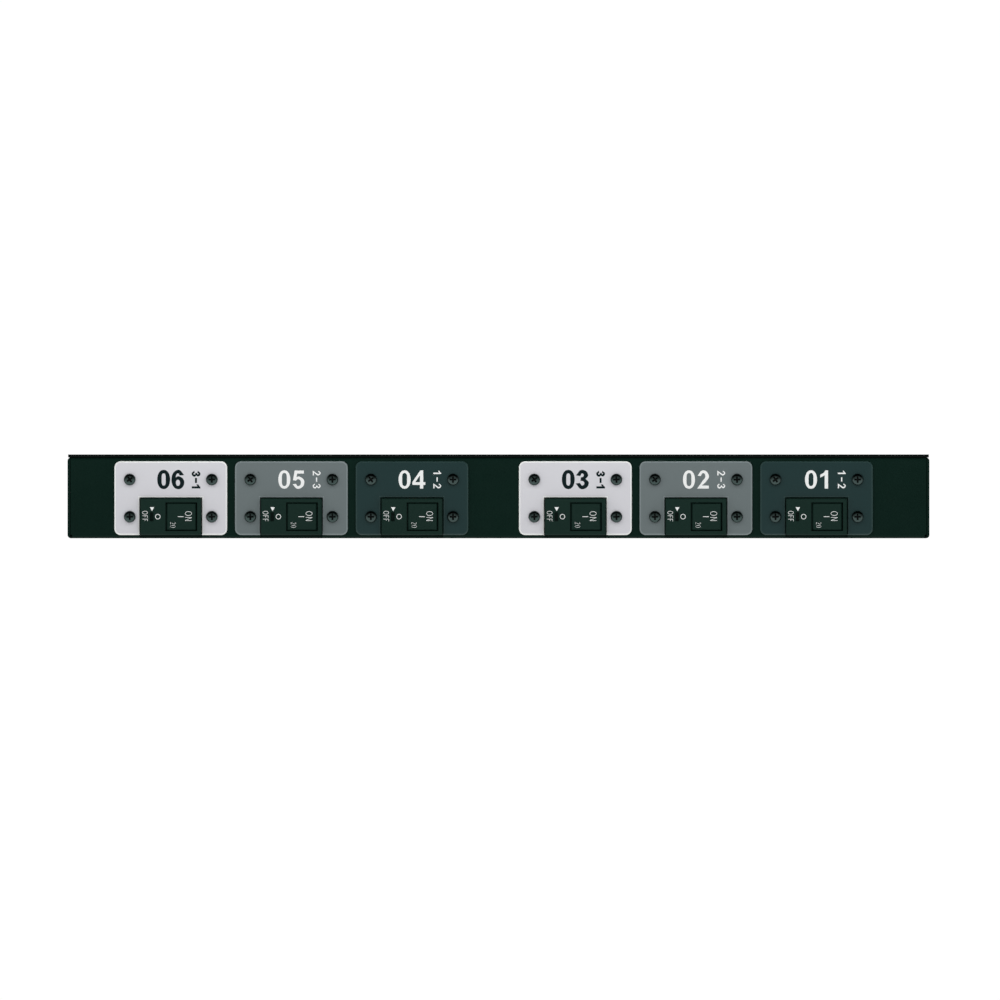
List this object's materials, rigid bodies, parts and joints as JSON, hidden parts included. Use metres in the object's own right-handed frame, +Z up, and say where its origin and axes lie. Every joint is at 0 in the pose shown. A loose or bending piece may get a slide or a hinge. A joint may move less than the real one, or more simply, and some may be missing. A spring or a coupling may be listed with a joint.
{
  "type": "rack power distribution unit",
  "caption": "Low rack-mount power box: a folded steel case with guarded rocker breakers in coloured plates at the front, and outlets and a cable gland at the back.",
  "frame": {"origin": "middle of the floor's underside, midway between the outer side walls and the outer front and rear walls", "axes": "+X to the right as seen from the breakers, +Y from the breakers to the outlets, +Z up"},
  "size_m": [0.44, 0.209, 0.0428],
  "materials": {
    "case_paint": "fine matt powder coat, green black",
    "plate_white": "satin, near white",
    "plate_grey": "satin, mid grey",
    "plate_dark": "satin, dark grey green",
    "black_screws": "black oxide",
    "steel": "bright zinc",
    "copper": "bare copper, slightly dulled",
    "brass": "bare brass",
    "breaker_plastic": "fine texture, black",
    "rocker_plastic": "smooth satin, black",
    "terminal_plastic": "pale cream",
    "wire_insulation": "black insulation",
    "outlet_plastic": "satin black",
    "gland_plastic": "satin black",
    "seal_rubber": "matt black"
  },
  "bodies": {
    "case": {"branch_plate_1": "plate_dark", "branch_plate_2": "plate_grey", "branch_plate_3": "plate_white", "branch_plate_4": "plate_dark", "branch_plate_5": "plate_grey", "branch_plate_6": "plate_white", "breaker_1_blank_pole": "breaker_plastic", "breaker_1_rocker_pole": "breaker_plastic", "breaker_2_blank_pole": "breaker_plastic", "breaker_2_rocker_pole": "breaker_plastic", "breaker_3_blank_pole": "breaker_plastic", "breaker_3_rocker_pole": "breaker_plastic", "breaker_4_blank_pole": "breaker_plastic", "breaker_4_rocker_pole": "breaker_plastic", "breaker_5_blank_pole": "breaker_plastic", "breaker_5_rocker_pole": "breaker_plastic", "breaker_6_blank_pole": "breaker_plastic", "breaker_6_rocker_pole": "breaker_plastic", "breaker_screws": "black_screws", "bus_bar_l1": "copper", "bus_bar_l2": "copper", "bus_bar_l3": "copper", "chassis_base": "case_paint", "clamp_screws": "steel", "cover_screws": "black_screws", "earth_nut": "steel", "earth_strip": "brass", "earth_stud": "steel", "gland_body": "gland_plastic", "gland_cap_nut": "gland_plastic", "gland_lock_nut": "gland_plastic", "gland_seal": "seal_rubber", "input_terminal_block": "terminal_plastic", "line_tabs": "copper", "load_tabs": "copper", "load_wires": "wire_insulation", "outlet_1": "outlet_plastic", "outlet_2": "outlet_plastic", "outlet_3": "outlet_plastic", "outlet_4": "outlet_plastic", "outlet_5": "outlet_plastic", "outlet_6": "outlet_plastic", "outlet_contacts": "brass", "rocker_pins": "steel", "top_cover": "case_paint"},
    "rocker_1": {"rocker_1": "rocker_plastic"},
    "rocker_2": {"rocker_2": "rocker_plastic"},
    "rocker_3": {"rocker_3": "rocker_plastic"},
    "rocker_4": {"rocker_4": "rocker_plastic"},
    "rocker_5": {"rocker_5": "rocker_plastic"},
    "rocker_6": {"rocker_6": "rocker_plastic"}
  },
  "joints": [
    {"name": "breaker_1_switch", "type": "hinge", "parent": "case", "child": "rocker_1", "pos_m": [0.16236, -0.0895, 0.011], "axis": [0, 0, -1], "range_deg": [0, 14]},
    {"name": "breaker_2_switch", "type": "hinge", "parent": "case", "child": "rocker_2", "pos_m": [0.1008, -0.0895, 0.011], "axis": [0, 0, -1], "range_deg": [0, 14]},
    {"name": "breaker_3_switch", "type": "hinge", "parent": "case", "child": "rocker_3", "pos_m": [0.03924, -0.0895, 0.011], "axis": [0, 0, -1], "range_deg": [0, 14]},
    {"name": "breaker_4_switch", "type": "hinge", "parent": "case", "child": "rocker_4", "pos_m": [-0.04416, -0.0895, 0.011], "axis": [0, 0, -1], "range_deg": [0, 14]},
    {"name": "breaker_5_switch", "type": "hinge", "parent": "case", "child": "rocker_5", "pos_m": [-0.10572, -0.0895, 0.011], "axis": [0, 0, -1], "range_deg": [0, 14]},
    {"name": "breaker_6_switch", "type": "hinge", "parent": "case", "child": "rocker_6", "pos_m": [-0.16728, -0.0895, 0.011], "axis": [0, 0, -1], "range_deg": [0, 14]}
  ]
}
